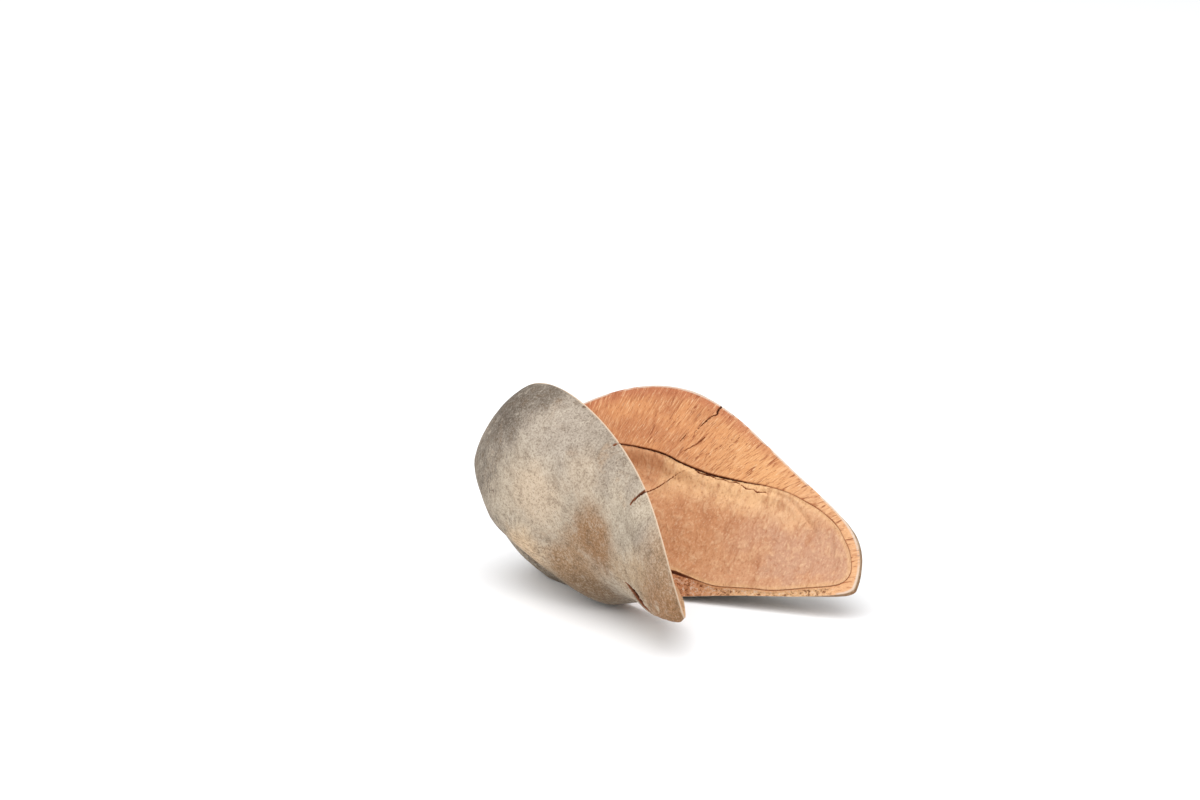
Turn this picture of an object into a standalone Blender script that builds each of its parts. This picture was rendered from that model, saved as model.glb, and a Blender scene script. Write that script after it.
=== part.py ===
"""Woody pear pod, gaping: one woody follicle, split from its tip back to its stalk end.

The pod is modelled closed, with its axis along X from the stalk end to the tip, its thick
crest side up (+Z) and its thin keel side down (-Z). The split lies in the plane y = 0. The
closed pod is cut along the split, each half is turned outward about the line where the split
ends, and the gaping pod is laid on its belly, which has a small flat spot.
Lengths are in metres.
"""
from math import comb, radians

import bmesh
import bpy
import numpy as np
from mathutils import Euler

# Driving dimensions of the closed pod
POD_LENGTH = 0.080
CREST_SHAPE = (0.67, 0.83, 0.835, 0.835, 0.75, 0.56, 0.485, 0.50, 0.63)
KEEL_SHAPE = (0.70, 0.63, 0.505, 0.35, 0.22, 0.166)
FLANK_SHAPE = (0.59, 0.54, 0.46, 0.366, 0.296, 0.262)

# Swelling of the skin's lower quarter near the tip, at a fraction of the length
FULLNESS_PLACE = 0.86
FULLNESS_LENGTH = 0.08

# At the tip the skin stands out past the cut edge, away from a point inside the tip
TIP_SWELL = 0.0009
TIP_SWELL_INSET = 0.0016
TIP_SWELL_START = 0.83
TIP_SWELL_RISE = 0.15
TIP_SWELL_DROP = 0.005
TIP_MIDDLE = (0.068, 0.005)

# The split: its end line runs from above the stalk to a point on the keel
SPLIT_STALK_HEIGHT = 0.002
SPLIT_KEEL_REACH = 0.0323
SPLIT_WIDTH = 0.0006

# How the two halves gape. Near is the half on the -Y side, far the half on the +Y side
GAPE_ANGLE = radians(37.3)
GAPE_START_WIDTH = 0.006
TWIST_LENGTH = 0.034
BOW_LENGTH = 0.024
NEAR_HALF = {"side": -1, "twist": radians(5.2), "slide": radians(1.0), "bow": 0.0071, "bow_tip": -0.0016,
             "flank": 0.96, "hollow": 0.21, "hollow_place": 0.25, "hollow_length": 0.2, "fullness": 0.12}
FAR_HALF = {"side": 1, "twist": radians(-0.9), "slide": radians(3.5), "bow": 0.0, "bow_tip": 0.0,
            "flank": 1.0, "hollow": 0.26, "hollow_place": 0.74, "hollow_length": 0.22, "fullness": 0.0}

# Seed bed: the smooth lining pressed into each cut face by the winged seeds
BED_DEPTH = 0.0012
BED_MIDDLE = 0.046
BED_HALF_LENGTH = 0.033
BED_HEIGHT = 0.0148
BED_RIM = 0.0024
BED_STEP_WIDTH = 0.0016
SEED_DEPTH = 0.0026
SEED_PLACE = (0.0265, 0.0085)
SEED_HALF_SIZE = (0.0095, 0.0058)

# Stalk scar: a round hole with a corky, uneven floor
STALK_RADIUS = 0.0060
STALK_DEPTH = 0.0055
STALK_WAVES = 7
STALK_WAVE_HEIGHT = 0.0005
STALK_SQUARENESS = 0.5

# The pose on the surface
LYING_ANGLES = (radians(-4.18), radians(-0.32), radians(-40.37))
FLAT_SPOT_HEIGHT = 0.0016
FLOOR_BLOCK_HEIGHT = 0.0064
FLOOR_BLOCK_SIDE = 0.32

# Mesh fineness
POD_SEGMENTS = 56
POD_RINGS = 40
STALK_SEGMENTS = 28
STALK_RINGS = 14
SPLIT_CELLS = (56, 31)
SPLIT_SHEET_START = -0.022
SPLIT_SHEET_LENGTH = 0.096
SPLIT_SHEET_HEIGHT = 0.052
MERGE_DISTANCE = 0.00002
CREASE_ANGLE = radians(40.0)


def clear_scene():
    for item in list(bpy.data.objects):
        bpy.data.objects.remove(item, do_unlink=True)


def new_collection(name):
    collection = bpy.data.collections.new(name)
    bpy.context.scene.collection.children.link(collection)
    return collection


def move_to(item, collection):
    for owner in list(item.users_collection):
        owner.objects.unlink(item)
    collection.objects.link(item)


def read_points(mesh):
    flat = np.empty(len(mesh.vertices) * 3, dtype=np.float32)
    mesh.vertices.foreach_get("co", flat)
    return flat.reshape(-1, 3).astype(np.float64)


def write_points(mesh, points):
    mesh.vertices.foreach_set("co", points.astype(np.float32).ravel())
    mesh.update()


def smooth_step(value):
    value = np.clip(value, 0.0, 1.0)
    return value * value * (3.0 - 2.0 * value)


def shape_curve(shape, along):
    """Bernstein curve of a profile, at a fraction of the length."""
    degree = len(shape) - 1
    return sum(weight * comb(degree, k) * along**k * (1.0 - along) ** (degree - k)
               for k, weight in enumerate(shape))


def profile(shape, along):
    """Height of a profile over the pod's axis: round at both ends."""
    return POD_LENGTH * np.sqrt(np.clip(along * (1.0 - along), 0.0, None)) * shape_curve(shape, along)


def split_frame():
    """End line of the split: its start, its direction, the direction across it, its length."""
    keel_drop = profile(KEEL_SHAPE, np.float64(SPLIT_KEEL_REACH / POD_LENGTH))
    start = np.array([0.0, SPLIT_STALK_HEIGHT])
    end = np.array([SPLIT_KEEL_REACH, -float(keel_drop)])
    length = float(np.linalg.norm(end - start))
    along = (end - start) / length
    across = np.array([-along[1], along[0]])
    return start, along, across, length


def tip_swelling(skin):
    """How the skin round the tip moves out past the cut edge."""
    amount = TIP_SWELL * smooth_step((skin[:, 0] / POD_LENGTH - TIP_SWELL_START) / TIP_SWELL_RISE)
    amount = amount * smooth_step(np.abs(skin[:, 1]) / TIP_SWELL_INSET)
    amount = amount * smooth_step(skin[:, 2] / TIP_SWELL_DROP + 1.0)
    outward = skin[:, [0, 2]] - np.array(TIP_MIDDLE)
    outward = outward / np.linalg.norm(outward, axis=1)[:, None] * amount[:, None]
    return np.stack([outward[:, 0], np.zeros(len(skin)), outward[:, 1]], axis=1)


def lower_quarter_swell(half, fraction):
    """How a half's skin is hollowed and filled out midway between its flank and its keel."""
    hollow = half["hollow"] * np.exp(-(((fraction - half["hollow_place"]) / half["hollow_length"]) ** 2))
    fullness = half["fullness"] * np.exp(-(((fraction - FULLNESS_PLACE) / FULLNESS_LENGTH) ** 2))
    return fullness - hollow


def swell_sphere(points):
    """Turn unit-sphere points, poles on X, into the closed pod."""
    fraction = np.clip((1.0 + points[:, 0]) / 2.0, 0.0, 1.0)
    half = POD_LENGTH / 2.0
    crest = shape_curve(CREST_SHAPE, fraction)
    keel = shape_curve(KEEL_SHAPE, fraction)
    flank = shape_curve(FLANK_SHAPE, fraction)
    radius = np.maximum(np.hypot(points[:, 1], points[:, 2]), 1e-9)
    near = points[:, 1] < 0.0
    flank = flank * np.where(near, NEAR_HALF["flank"], FAR_HALF["flank"])
    lower_quarter = np.clip(-2.0 * np.abs(points[:, 1]) * points[:, 2] / radius**2, 0.0, None)
    swell = 1.0 + lower_quarter * np.where(near, lower_quarter_swell(NEAR_HALF, fraction),
                                           lower_quarter_swell(FAR_HALF, fraction))
    height = np.where(points[:, 2] > 0.0, crest, keel)
    skin = np.stack([POD_LENGTH * fraction,
                     half * flank * swell * points[:, 1],
                     half * height * swell * points[:, 2]], axis=1)
    return skin + tip_swelling(skin)


def bed_depth(x, z, from_split_end):
    """Depth of the seed bed below the cut face, at a place on the split plane."""
    reach = np.clip(1.0 - ((x - BED_MIDDLE) / BED_HALF_LENGTH) ** 4, 0.0, None)
    top = BED_HEIGHT * np.sqrt(reach)
    fraction = np.clip(x / POD_LENGTH, 0.0, 1.0)
    bottom = -profile(KEEL_SHAPE, fraction) + BED_RIM
    inside = np.minimum(np.minimum(top - z, z - bottom), from_split_end - BED_RIM)
    inside = np.minimum(inside, POD_LENGTH - BED_RIM - x)
    inside = np.where(reach > 0.0, inside, -1.0)
    bed = BED_DEPTH * smooth_step(inside / BED_STEP_WIDTH)
    from_seed_x = (x - SEED_PLACE[0]) / SEED_HALF_SIZE[0]
    from_seed_z = (z - SEED_PLACE[1]) / SEED_HALF_SIZE[1]
    seed = SEED_DEPTH * np.exp(-(from_seed_x**2) - from_seed_z**2)
    return bed + seed * smooth_step(inside / (2.0 * BED_STEP_WIDTH))


def gape(points, half):
    """Swing one half of the split pod outward, with its own small twist, slide and bow."""
    start, along, across, length = split_frame()
    side = half["side"]
    offset = points[:, [0, 2]] - start
    q = offset @ across
    r = offset @ along - length / 2.0
    y = points[:, 1] * side
    fraction = points[:, 0] / POD_LENGTH
    bow = half["bow"] * np.sin(np.pi * fraction) + half["bow_tip"] * np.sin(2.0 * np.pi * fraction)
    y = y - bow * smooth_step(q / BOW_LENGTH)
    share = smooth_step(q / TWIST_LENGTH)
    turn = half["twist"] * share
    r, y = r * np.cos(turn) - y * np.sin(turn), r * np.sin(turn) + y * np.cos(turn)
    turn = half["slide"] * share
    q, r = q * np.cos(turn) - r * np.sin(turn), q * np.sin(turn) + r * np.cos(turn)
    outer = np.maximum(y, 0.0)
    share = smooth_step((q + outer) / (GAPE_START_WIDTH + 2.0 * outer))
    turned_q = q * np.cos(GAPE_ANGLE) - y * np.sin(GAPE_ANGLE)
    turned_y = q * np.sin(GAPE_ANGLE) + y * np.cos(GAPE_ANGLE)
    q = q + share * (turned_q - q)
    y = y + share * (turned_y - y)
    plane = start + q[:, None] * across + (r + length / 2.0)[:, None] * along
    return np.stack([plane[:, 0], side * y, plane[:, 1]], axis=1)


def lay_down(points):
    """Turn the pod to its pose, with its lowest point at z = 0."""
    turn = np.array(Euler(LYING_ANGLES, "XYZ").to_matrix())
    points = points @ turn.T
    points[:, 2] -= points[:, 2].min()
    return points


def stand_over_origin(points):
    """Move the pod so that the origin is under the middle of its bounding box."""
    low, high = points.min(axis=0), points.max(axis=0)
    return points - np.array([(low[0] + high[0]) / 2.0, (low[1] + high[1]) / 2.0, low[2]])


def closed_pod():
    bpy.ops.mesh.primitive_uv_sphere_add(segments=POD_SEGMENTS, ring_count=POD_RINGS, radius=1.0)
    pod = bpy.context.object
    pod.name = "woody_pear_pod"
    points = read_points(pod.data)
    points = np.stack([points[:, 2], points[:, 1], -points[:, 0]], axis=1)
    write_points(pod.data, swell_sphere(points))
    return pod


def split_cutter():
    """A thin sheet in the split plane, thicker where the seed beds lie."""
    along_cells, across_cells = SPLIT_CELLS
    bpy.ops.mesh.primitive_grid_add(x_subdivisions=along_cells, y_subdivisions=across_cells, size=1.0)
    cutter = bpy.context.object
    cutter.name = "split_cutter"
    thickness = cutter.modifiers.new("both_faces", "SOLIDIFY")
    thickness.thickness = 1.0
    thickness.offset = 0.0
    bpy.ops.object.modifier_apply(modifier=thickness.name)
    points = read_points(cutter.data)
    start, along, across, length = split_frame()
    r = SPLIT_SHEET_START + SPLIT_SHEET_LENGTH * (points[:, 0] + 0.5)
    q = SPLIT_SHEET_HEIGHT * (points[:, 1] + 0.5)
    plane = start + q[:, None] * across + r[:, None] * along
    x, z = plane[:, 0], plane[:, 1]
    face = SPLIT_WIDTH / 2.0 + bed_depth(x, z, q)
    write_points(cutter.data, np.stack([x, -np.sign(points[:, 2]) * face, z], axis=1))
    return cutter


def stalk_cutter():
    """The stalk scar: a round plug with an uneven inner end."""
    bpy.ops.mesh.primitive_uv_sphere_add(segments=STALK_SEGMENTS, ring_count=STALK_RINGS, radius=1.0)
    cutter = bpy.context.object
    cutter.name = "stalk_cutter"
    points = read_points(cutter.data)
    around = np.arctan2(points[:, 1], points[:, 0])
    ring = np.hypot(points[:, 0], points[:, 1])
    radius = STALK_RADIUS * np.power(ring, STALK_SQUARENESS)
    ripple = STALK_WAVE_HEIGHT * np.sin(STALK_WAVES * around) * ring
    depth = STALK_DEPTH * points[:, 2] + ripple * (points[:, 2] > 0.0)
    write_points(cutter.data, np.stack([depth, radius * np.sin(around), -radius * np.cos(around)], axis=1))
    return cutter


def floor_cutter():
    """A block whose top face cuts the flat spot that the pod rests on."""
    middle = (0.0, 0.0, FLAT_SPOT_HEIGHT - FLOOR_BLOCK_HEIGHT / 2.0)
    size = (FLOOR_BLOCK_SIDE, FLOOR_BLOCK_SIDE, FLOOR_BLOCK_HEIGHT)
    bpy.ops.mesh.primitive_cube_add(size=1.0, location=middle, scale=size)
    cutter = bpy.context.object
    cutter.name = "floor_cutter"
    return cutter


def cut_away(pod, cutter, cutters):
    move_to(cutter, cutters)
    cutter.hide_render = True
    cutter.display_type = "WIRE"
    cut = pod.modifiers.new(cutter.name, "BOOLEAN")
    cut.operation = "DIFFERENCE"
    cut.object = cutter
    bpy.context.view_layer.objects.active = pod
    bpy.ops.object.modifier_apply(modifier=cut.name)


def tidy_mesh(mesh):
    """Triangles only, with the slivers that the cuts leave merged away."""
    work = bmesh.new()
    work.from_mesh(mesh)
    bmesh.ops.remove_doubles(work, verts=work.verts, dist=MERGE_DISTANCE)
    bmesh.ops.triangulate(work, faces=work.faces)
    bmesh.ops.dissolve_degenerate(work, edges=work.edges, dist=MERGE_DISTANCE)
    bmesh.ops.triangulate(work, faces=work.faces)
    work.to_mesh(mesh)
    work.free()


def pod_material():
    material = bpy.data.materials.new("weathered_pod_wood")
    material.use_nodes = True
    shader = material.node_tree.nodes["Principled BSDF"]
    shader.inputs["Base Color"].default_value = (0.40, 0.30, 0.22, 1.0)
    shader.inputs["Roughness"].default_value = 0.85
    shader.inputs["Metallic"].default_value = 0.0
    return material


def build():
    clear_scene()
    parts = new_collection("woody_pear")
    cutters = new_collection("cutters")
    pod = closed_pod()
    move_to(pod, parts)
    cut_away(pod, split_cutter(), cutters)
    cut_away(pod, stalk_cutter(), cutters)
    tidy_mesh(pod.data)
    points = read_points(pod.data)
    near = (points[:, 1] < 0.0)[:, None]
    points = np.where(near, gape(points, NEAR_HALF), gape(points, FAR_HALF))
    write_points(pod.data, lay_down(points))
    cut_away(pod, floor_cutter(), cutters)
    tidy_mesh(pod.data)
    write_points(pod.data, stand_over_origin(read_points(pod.data)))
    pod.data.materials.append(pod_material())
    pod.data.shade_smooth()
    pod.data.set_sharp_from_angle(angle=CREASE_ANGLE)


build()
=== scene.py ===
# %% [markdown]
# # A woody pear pod, gaping
#
# The pod is a seed case of hard wood, about as long as a thumb and a half. When it dries it splits
# from the tip back toward the stalk and its two halves swing apart. Outside it has a grey, weathered
# skin. Inside it shows thick orange wood, and in the middle of that the smooth bed where the two
# winged seeds lay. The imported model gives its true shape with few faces. This script makes a fine
# mesh in the same place, cuts the cracks and the edges of the seed bed into it, and paints it.

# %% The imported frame
from math import comb, radians

import bpy
import numpy as np
from mathutils import Euler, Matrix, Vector, noise


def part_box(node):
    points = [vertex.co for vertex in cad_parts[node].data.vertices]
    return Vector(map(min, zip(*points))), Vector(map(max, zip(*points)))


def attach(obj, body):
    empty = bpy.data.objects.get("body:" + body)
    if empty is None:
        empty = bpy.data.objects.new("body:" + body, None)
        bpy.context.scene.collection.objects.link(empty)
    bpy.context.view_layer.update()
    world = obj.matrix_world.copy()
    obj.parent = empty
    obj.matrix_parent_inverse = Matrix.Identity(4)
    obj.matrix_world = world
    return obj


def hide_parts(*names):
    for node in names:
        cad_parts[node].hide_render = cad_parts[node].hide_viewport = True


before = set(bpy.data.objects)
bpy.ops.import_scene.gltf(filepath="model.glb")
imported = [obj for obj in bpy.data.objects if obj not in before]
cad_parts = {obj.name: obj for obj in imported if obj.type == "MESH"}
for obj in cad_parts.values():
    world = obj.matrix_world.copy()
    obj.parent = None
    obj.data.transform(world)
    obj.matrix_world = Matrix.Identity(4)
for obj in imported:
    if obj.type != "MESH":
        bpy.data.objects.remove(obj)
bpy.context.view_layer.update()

POD_NODE = "woody_pear_pod"
node_low, node_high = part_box(POD_NODE)
print("The packed pod is", [round(1000 * side, 1) for side in node_high - node_low], "mm")

# %% [markdown]
# ## The sizes
#
# Lengths here are in millimetres, because the cracks are tenths of a millimetre wide. The closed pod
# lies with its axis along X, from the stalk end at 0 to the tip, with its thick crest up and its thin
# keel down. Three curves give its outline: the crest, the keel and the flanks. The split lies in the
# plane y = 0 and ends along a line from above the stalk down to the keel.

# %% Sizes of the closed pod and of its split
POD_LENGTH = 80.0
CREST_SHAPE = (0.67, 0.83, 0.835, 0.835, 0.75, 0.56, 0.485, 0.50, 0.63)
KEEL_SHAPE = (0.70, 0.63, 0.505, 0.35, 0.22, 0.166)
FLANK_SHAPE = (0.59, 0.54, 0.46, 0.366, 0.296, 0.262)
FULLNESS_PLACE = 0.86
FULLNESS_LENGTH = 0.08
TIP_SWELL = 0.9
TIP_SWELL_INSET = 1.6
TIP_SWELL_START = 0.83
TIP_SWELL_RISE = 0.15
TIP_SWELL_DROP = 5.0
TIP_MIDDLE = (68.0, 5.0)
SPLIT_STALK_HEIGHT = 2.0
SPLIT_KEEL_REACH = 32.3
SPLIT_WIDTH = 0.6
GAPE_ANGLE = radians(37.3)
GAPE_START_WIDTH = 6.0
TWIST_LENGTH = 34.0
BOW_LENGTH = 24.0
NEAR_HALF = {"side": -1, "twist": radians(5.2), "slide": radians(1.0), "bow": 7.1, "bow_tip": -1.6,
             "flank": 0.96, "hollow": 0.21, "hollow_place": 0.25, "hollow_length": 0.2, "fullness": 0.12}
FAR_HALF = {"side": 1, "twist": radians(-0.9), "slide": radians(3.5), "bow": 0.0, "bow_tip": 0.0,
            "flank": 1.0, "hollow": 0.26, "hollow_place": 0.74, "hollow_length": 0.22, "fullness": 0.0}
STALK_RADIUS = 6.0
STALK_DEPTH = 5.5
LYING_ANGLES = (radians(-4.18), radians(-0.32), radians(-40.37))
FLAT_SPOT_HEIGHT = 1.6

# %% [markdown]
# ## Helpers for points
#
# A grown shape has no straight sides to extrude, so the points of a primitive are moved by formulas,
# all at once, the way a sculptor pushes clay. These helpers read a mesh's points into an array and
# write them back, and measure how far points are from a drawn line.

# %% Helpers for points and lines
def read_points(mesh):
    flat = np.empty(len(mesh.vertices) * 3, dtype=np.float32)
    mesh.vertices.foreach_get("co", flat)
    return flat.reshape(-1, 3).astype(np.float64)


def write_points(mesh, points):
    mesh.vertices.foreach_set("co", points.astype(np.float32).ravel())
    mesh.update()


def select_only(item):
    bpy.ops.object.select_all(action="DESELECT")
    item.select_set(True)
    bpy.context.view_layer.objects.active = item


def smooth_step(value):
    value = np.clip(value, 0.0, 1.0)
    return value * value * (3.0 - 2.0 * value)


def curved(line, steps=5):
    """A smooth curve through the points of a line, sampled a few times between them."""
    line = np.array(line, dtype=np.float64)
    padded = np.vstack([2.0 * line[0] - line[1], line, 2.0 * line[-1] - line[-2]])
    made = []
    for a, b, c, d in zip(padded, padded[1:], padded[2:], padded[3:]):
        for t in np.arange(steps) / steps:
            made.append(0.5 * (2.0 * b + (c - a) * t + (2.0 * a - 5.0 * b + 4.0 * c - d) * t**2
                               + (3.0 * b - a - 3.0 * c + d) * t**3))
    made.append(line[-1])
    return np.array(made)


def nearest_on(line, points):
    """Distance from each point to a line, and the place along the line, from 0 to 1."""
    best = np.full(len(points), np.inf)
    along = np.zeros(len(points))
    steps = np.linalg.norm(np.diff(line, axis=0), axis=1)
    passed = 0.0
    for start, end, step in zip(line[:-1], line[1:], steps):
        share = np.clip((points - start) @ (end - start) / step**2, 0.0, 1.0)
        distance = np.linalg.norm(points - start - share[:, None] * (end - start), axis=1)
        nearer = distance < best
        best[nearer] = distance[nearer]
        along[nearer] = (passed + share[nearer] * step) / steps.sum()
        passed += step
    return best, along


def inside_of(outline, points):
    """True for the points that a closed outline goes round."""
    inside = np.zeros(len(points), dtype=bool)
    for (x0, z0), (x1, z1) in zip(outline, np.roll(outline, -1, axis=0)):
        crosses = (z0 > points[:, 1]) != (z1 > points[:, 1])
        meets = x0 + (x1 - x0) * (points[:, 1] - z0) / (z1 - z0 if z1 != z0 else 1.0)
        inside ^= crosses & (points[:, 0] < meets)
    return inside


def hump(distance, width):
    """1 on a line, and falling off softly on both sides of it."""
    return np.exp(-((distance / width) ** 2))


def waves(points, size, seed):
    """Smooth random heights from -1 to 1, in lumps of about the size given."""
    return np.array([noise.noise(point) for point in (points / size + seed).tolist()])


def layered_waves(points, layers):
    """Waves of several sizes added up, from (height, size, seed) for each."""
    return sum(height * waves(points, size, seed) for height, size, seed in layers)


# %% [markdown]
# ## The shape of the pod
#
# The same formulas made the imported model, so the fine mesh lands on it: a sphere swells into the
# closed pod, and each half then swings out about the line where the split ends. The near half also
# twists and bows a little, as drying wood does.

# %% Formulas of the closed pod and of its gape
def shape_curve(shape, along):
    degree = len(shape) - 1
    return sum(weight * comb(degree, k) * along**k * (1.0 - along) ** (degree - k)
               for k, weight in enumerate(shape))


def profile(shape, along):
    return POD_LENGTH * np.sqrt(np.clip(along * (1.0 - along), 0.0, None)) * shape_curve(shape, along)


def split_frame():
    """End line of the split: its start, its direction, the direction across it, its length."""
    keel_drop = float(profile(KEEL_SHAPE, np.float64(SPLIT_KEEL_REACH / POD_LENGTH)))
    start = np.array([0.0, SPLIT_STALK_HEIGHT])
    end = np.array([SPLIT_KEEL_REACH, -keel_drop])
    length = float(np.linalg.norm(end - start))
    along = (end - start) / length
    return start, along, np.array([-along[1], along[0]]), length


def tip_swelling(skin):
    """How the skin round the tip moves out past the cut edge."""
    amount = TIP_SWELL * smooth_step((skin[:, 0] / POD_LENGTH - TIP_SWELL_START) / TIP_SWELL_RISE)
    amount = amount * smooth_step(np.abs(skin[:, 1]) / TIP_SWELL_INSET)
    amount = amount * smooth_step(skin[:, 2] / TIP_SWELL_DROP + 1.0)
    outward = skin[:, [0, 2]] - np.array(TIP_MIDDLE)
    outward = outward / np.linalg.norm(outward, axis=1)[:, None] * amount[:, None]
    return np.stack([outward[:, 0], np.zeros(len(skin)), outward[:, 1]], axis=1)


def lower_quarter_swell(half, fraction):
    """How a half's skin is hollowed and filled out midway between its flank and its keel."""
    hollow = half["hollow"] * hump(fraction - half["hollow_place"], half["hollow_length"])
    fullness = half["fullness"] * hump(fraction - FULLNESS_PLACE, FULLNESS_LENGTH)
    return fullness - hollow


def swell_sphere(points):
    """Turn unit-sphere points, poles on X, into the closed pod."""
    fraction = np.clip((1.0 + points[:, 0]) / 2.0, 0.0, 1.0)
    half = POD_LENGTH / 2.0
    radius = np.maximum(np.hypot(points[:, 1], points[:, 2]), 1e-9)
    near = points[:, 1] < 0.0
    flank = shape_curve(FLANK_SHAPE, fraction) * np.where(near, NEAR_HALF["flank"], FAR_HALF["flank"])
    lower_quarter = np.clip(-2.0 * np.abs(points[:, 1]) * points[:, 2] / radius**2, 0.0, None)
    swell = 1.0 + lower_quarter * np.where(near, lower_quarter_swell(NEAR_HALF, fraction),
                                           lower_quarter_swell(FAR_HALF, fraction))
    height = np.where(points[:, 2] > 0.0, shape_curve(CREST_SHAPE, fraction),
                      shape_curve(KEEL_SHAPE, fraction))
    skin = np.stack([POD_LENGTH * fraction, half * flank * swell * points[:, 1],
                     half * height * swell * points[:, 2]], axis=1)
    return skin + tip_swelling(skin)


def gape(points, half):
    """Swing one half of the split pod outward, with its own small twist, slide and bow."""
    start, along, across, length = split_frame()
    side = half["side"]
    offset = points[:, [0, 2]] - start
    q = offset @ across
    r = offset @ along - length / 2.0
    y = points[:, 1] * side
    fraction = points[:, 0] / POD_LENGTH
    bow = half["bow"] * np.sin(np.pi * fraction) + half["bow_tip"] * np.sin(2.0 * np.pi * fraction)
    y = y - bow * smooth_step(q / BOW_LENGTH)
    turn = half["twist"] * smooth_step(q / TWIST_LENGTH)
    r, y = r * np.cos(turn) - y * np.sin(turn), r * np.sin(turn) + y * np.cos(turn)
    turn = half["slide"] * smooth_step(q / TWIST_LENGTH)
    q, r = q * np.cos(turn) - r * np.sin(turn), q * np.sin(turn) + r * np.cos(turn)
    outer = np.maximum(y, 0.0)
    share = smooth_step((q + outer) / (GAPE_START_WIDTH + 2.0 * outer))
    turned_q = q * np.cos(GAPE_ANGLE) - y * np.sin(GAPE_ANGLE)
    turned_y = q * np.sin(GAPE_ANGLE) + y * np.cos(GAPE_ANGLE)
    q = q + share * (turned_q - q)
    y = y + share * (turned_y - y)
    plane = start + q[:, None] * across + (r + length / 2.0)[:, None] * along
    return np.stack([plane[:, 0], side * y, plane[:, 1]], axis=1)


def on_skin(places, side):
    """Points on the closed pod's skin, from (fraction of the length, degrees above the flank)."""
    fraction = np.array([place[0] for place in places])
    lift = np.radians([place[1] for place in places])
    ring = 2.0 * np.sqrt(fraction * (1.0 - fraction))
    return swell_sphere(np.stack([2.0 * fraction - 1.0, side * ring * np.cos(lift), ring * np.sin(lift)],
                                 axis=1))


# %% [markdown]
# ## The closed pod, cut open
#
# The skin starts as a UV sphere with its poles on the pod's axis. Two Boolean cuts follow, as in the
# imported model: a thin sheet for the split and a round plug for the stalk scar. A Boolean keeps the
# border between skin and cut wood crisp, and with its materials set to transfer, each cut face takes
# the material of its cutter. The sheet is a grid, so the cut faces arrive as small even squares that
# can be pushed into relief.

# %% Materials to fill in later
skin_material = bpy.data.materials.new("weathered_grey_skin")
wood_material = bpy.data.materials.new("split_orange_wood")
cork_material = bpy.data.materials.new("corky_stalk_scar")

# %% A sphere swelled into the closed pod
SKIN_SEGMENTS = 200
SKIN_RINGS = 140
bpy.ops.object.select_all(action="DESELECT")
bpy.ops.mesh.primitive_uv_sphere_add(segments=SKIN_SEGMENTS, ring_count=SKIN_RINGS, radius=1.0)
pod = bpy.context.object
pod.name = "pod_wood_and_skin"
sphere = read_points(pod.data)
write_points(pod.data, swell_sphere(np.stack([sphere[:, 2], sphere[:, 1], -sphere[:, 0]], axis=1)))
pod.data.materials.append(skin_material)
print("Closed pod:", len(pod.data.polygons), "faces")


# %% Cutting with a Boolean
def cut_away(piece, cutter):
    cut = piece.modifiers.new(cutter.name, "BOOLEAN")
    cut.operation = "DIFFERENCE"
    cut.material_mode = "TRANSFER"
    cut.object = cutter
    select_only(piece)
    bpy.ops.object.modifier_apply(modifier=cut.name)
    bpy.data.objects.remove(cutter, do_unlink=True)


# %% The split
SHEET_CELLS = (220, 120)
SHEET_START = -22.0
SHEET_LENGTH = 96.0
SHEET_HEIGHT = 52.0
bpy.ops.object.select_all(action="DESELECT")
bpy.ops.mesh.primitive_grid_add(x_subdivisions=SHEET_CELLS[0], y_subdivisions=SHEET_CELLS[1], size=1.0)
sheet = bpy.context.object
thickness = sheet.modifiers.new("both_faces", "SOLIDIFY")
thickness.thickness = SPLIT_WIDTH
thickness.offset = 0.0
bpy.ops.object.modifier_apply(modifier=thickness.name)
flat = read_points(sheet.data)
start, along, across, length = split_frame()
run = SHEET_START + SHEET_LENGTH * (flat[:, 0] + 0.5)
rise = SHEET_HEIGHT * (flat[:, 1] + 0.5)
plane = start + rise[:, None] * across + run[:, None] * along
write_points(sheet.data, np.stack([plane[:, 0], -flat[:, 2], plane[:, 1]], axis=1))
sheet.data.materials.append(wood_material)
cut_away(pod, sheet)
print("Split pod:", len(pod.data.polygons), "faces")

# %% The stalk scar
PLUG_SEGMENTS = 96
PLUG_RINGS = 48
bpy.ops.object.select_all(action="DESELECT")
bpy.ops.mesh.primitive_uv_sphere_add(segments=PLUG_SEGMENTS, ring_count=PLUG_RINGS, radius=1.0)
plug = bpy.context.object
ball = read_points(plug.data)
around = np.arctan2(ball[:, 1], ball[:, 0])
ring = np.sqrt(np.hypot(ball[:, 0], ball[:, 1]))
write_points(plug.data, np.stack([STALK_DEPTH * ball[:, 2], STALK_RADIUS * ring * np.sin(around),
                                  -STALK_RADIUS * ring * np.cos(around)], axis=1))
plug.data.materials.append(cork_material)
cut_away(pod, plug)
print("With its stalk scar:", len(pod.data.polygons), "faces, materials",
      [material.name for material in pod.data.materials])

# %% [markdown]
# ## Lines on the pod
#
# The seed bed's edge and the cracks are drawn as lines on the closed pod, where both halves still
# share one flat plane. Places on the cut face are (distance from the stalk end, height), and places
# on the skin are (fraction of the length, degrees above the flank).

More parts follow.
